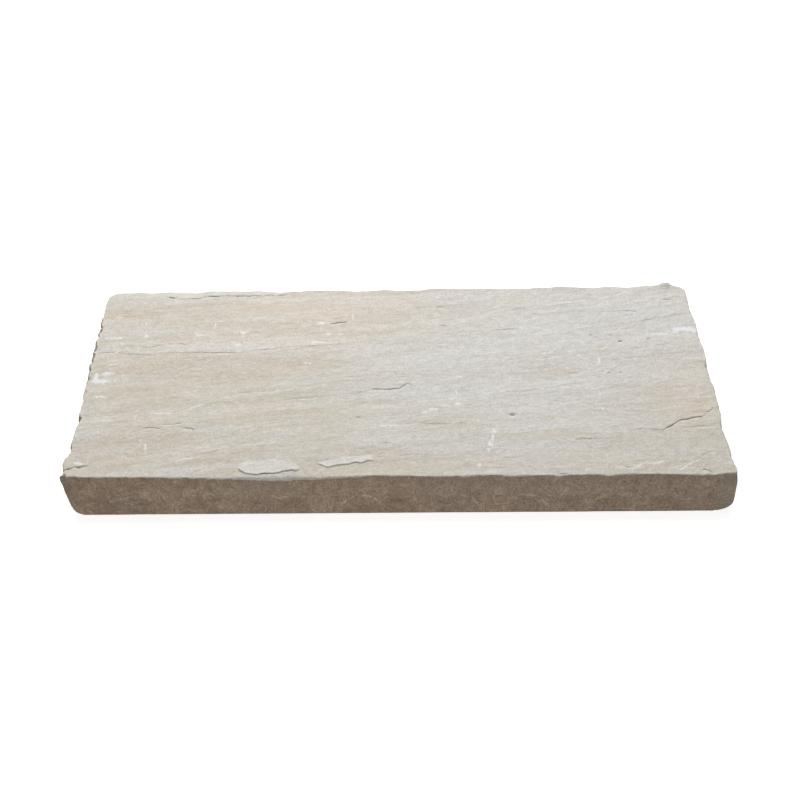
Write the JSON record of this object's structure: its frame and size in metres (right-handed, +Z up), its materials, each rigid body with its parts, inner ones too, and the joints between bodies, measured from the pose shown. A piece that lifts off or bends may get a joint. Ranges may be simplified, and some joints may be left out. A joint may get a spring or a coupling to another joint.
{
  "type": "wall coping stone",
  "caption": "Flat riven sandstone coping slab with a sawn bed, sawn long sides, hand-pitched ends and drip grooves, laid on top of a wall to shed rain.",
  "frame": {"origin": "middle of the sawn bed, the underside that the stone rests on", "axes": "+X along the length, +Y across the width towards the back sawn side, +Z up to the riven face"},
  "size_m": [0.5998, 0.3, 0.046],
  "materials": {
    "sandstone": "riven top, sawn bed and long sides, pitched ends"
  },
  "bodies": {
    "root": {"coping_stone": "sandstone"}
  },
  "joints": []
}
